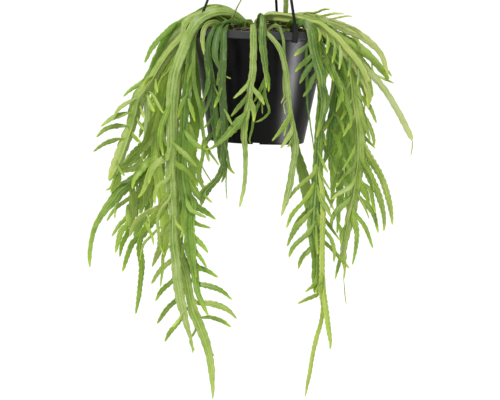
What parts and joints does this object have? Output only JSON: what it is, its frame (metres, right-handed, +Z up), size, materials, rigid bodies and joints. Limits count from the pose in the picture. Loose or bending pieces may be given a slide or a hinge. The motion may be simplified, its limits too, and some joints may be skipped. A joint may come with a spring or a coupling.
{
  "type": "potted hanging lepismium bolivianum",
  "caption": "Lepismium bolivianum, a trailing forest cactus with flat notched green stems, in a black plastic hanging pot with a clip-on hanger and hook.",
  "frame": {"origin": "the inside top of the hanger's hook, the point that bears on a rail or ceiling hook; the pot and plant hang below it", "axes": "+Z up; the front of the plant, the side the picture shows, faces -Y, with +X to its right"},
  "size_m": [0.3549, 0.1829, 0.6578],
  "materials": {
    "black_plastic": "satin",
    "potting_mix": "rough",
    "stem_green": "waxy satin",
    "stem_light_green": "waxy satin",
    "stem_deep_green": "waxy satin"
  },
  "bodies": {
    "root": {"pot": "black_plastic", "soil": "potting_mix", "hanger_hook": "black_plastic", "hanger_arm_left": "black_plastic", "hanger_arm_back": "black_plastic", "hanger_arm_front": "black_plastic", "stem_left_arch_outer": "stem_deep_green", "stem_left_arch_back": "stem_deep_green", "stem_left_ribbed": "stem_light_green", "stem_left_front": "stem_green", "stem_left_middle": "stem_green", "stem_left_long": "stem_green", "stem_left_longest": "stem_green", "stem_left_inner": "stem_deep_green", "stem_left_thin": "stem_green", "stem_left_short": "stem_light_green", "stem_front_left_dark": "stem_deep_green", "stem_front_left_short": "stem_light_green", "stem_front_left_wide": "stem_green", "stem_front_centre": "stem_light_green", "stem_front_looped": "stem_green", "stem_front_thin": "stem_green", "stem_front_right": "stem_green", "stem_right_front_short": "stem_light_green", "stem_right_front_long": "stem_green", "stem_right_ribbed_arch": "stem_light_green", "stem_right_low": "stem_deep_green", "stem_right_top_arch": "stem_green", "stem_right_arch_back": "stem_deep_green", "stem_right_straight": "stem_light_green", "stem_right_ribbed_long": "stem_light_green", "stem_right_behind": "stem_deep_green", "stem_right_dark": "stem_deep_green", "stem_right_inner": "stem_deep_green", "stem_right_thin": "stem_green", "stem_upright": "stem_light_green", "stem_upright_thin": "stem_light_green", "stem_back_right_long": "stem_deep_green", "stem_back_middle": "stem_deep_green", "stem_back_left": "stem_deep_green", "stem_back_left_outer": "stem_deep_green", "stem_back_right": "stem_deep_green", "stem_back_far_left": "stem_deep_green", "stem_back_far_right": "stem_deep_green", "stem_back_left_arch": "stem_deep_green", "stem_back_right_inner": "stem_deep_green", "stem_back_left_inner": "stem_deep_green"}
  },
  "joints": []
}
